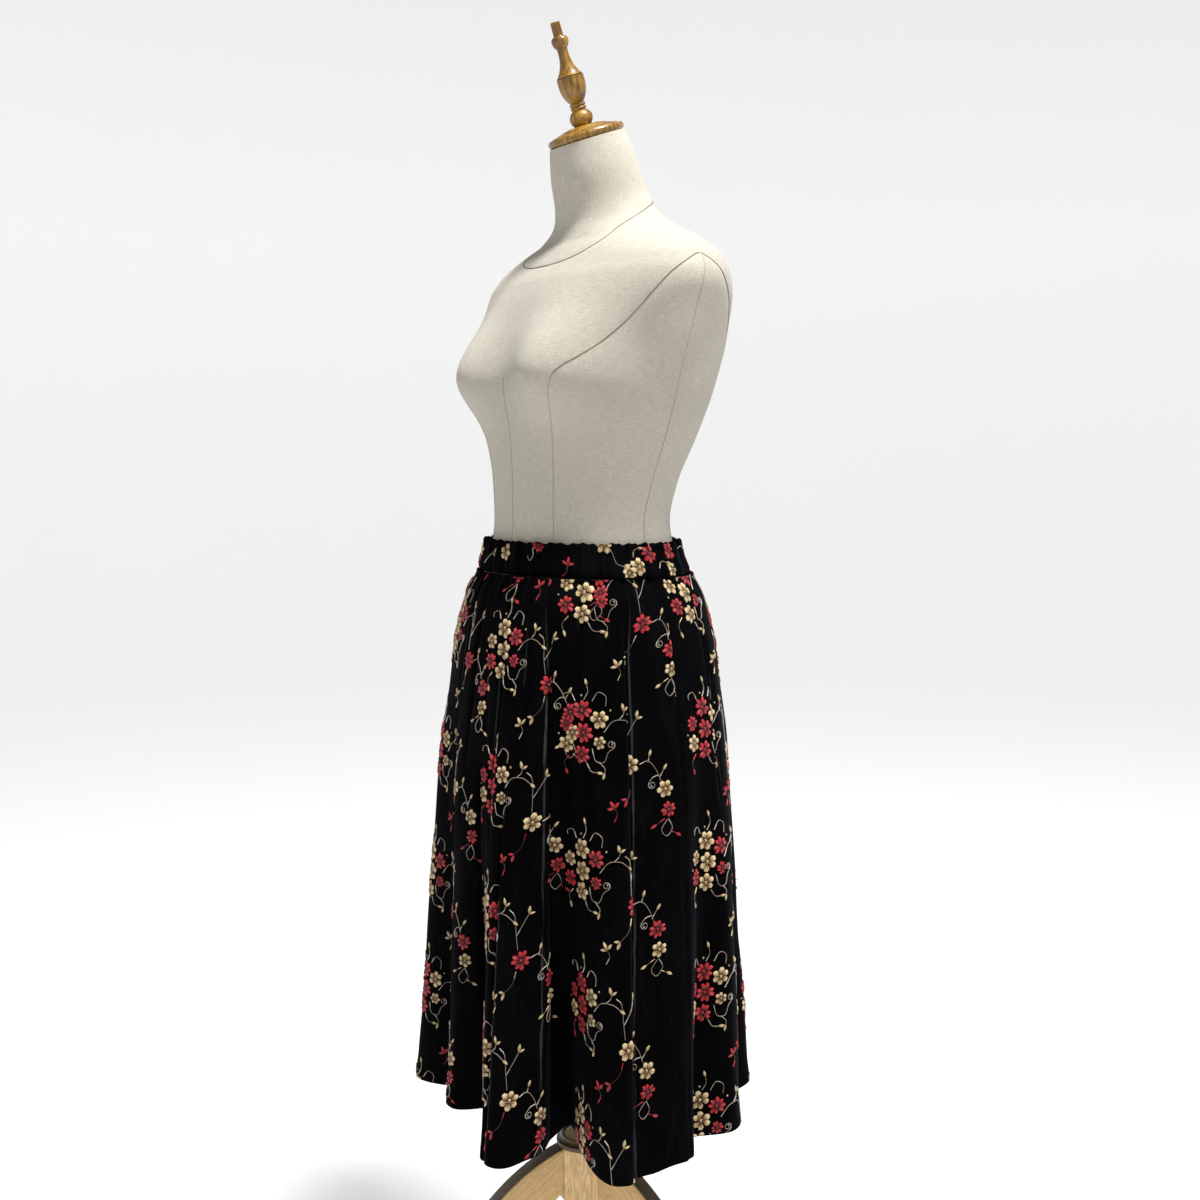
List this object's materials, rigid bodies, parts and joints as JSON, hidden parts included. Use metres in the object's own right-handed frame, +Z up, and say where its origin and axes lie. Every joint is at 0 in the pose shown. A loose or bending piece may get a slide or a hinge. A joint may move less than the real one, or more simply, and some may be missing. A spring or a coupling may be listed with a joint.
{
  "type": "a-line skirt on a limbless dress form",
  "caption": "Gathered a-line midi skirt in floral velvet with an elastic waist, worn by a limbless linen dress form with a turned finial and a wooden three-legged base.",
  "frame": {"origin": "on the floor, in the middle of the footprint, under the form's rod", "axes": "+Z up; the form faces -Y and its left side is towards +X"},
  "size_m": [0.4101, 0.4085, 1.5465],
  "materials": {
    "velvet": "black velvet with red and cream embroidered sprays",
    "linen": "plain woven natural linen",
    "honey_wood": "glossy honey varnish",
    "oak": "satin light oak",
    "dark_oak": "dark stained wood",
    "steel": "satin"
  },
  "bodies": {
    "root": {"skirt_front": "velvet", "skirt_back": "velvet", "waist_casing": "velvet", "form_body": "linen", "neck_cap": "honey_wood", "finial": "honey_wood", "rod": "steel", "hub_collar": "dark_oak", "hub_inset": "oak", "hub_block": "oak", "leg_front": "oak", "leg_left": "oak", "leg_right": "oak"}
  },
  "joints": []
}
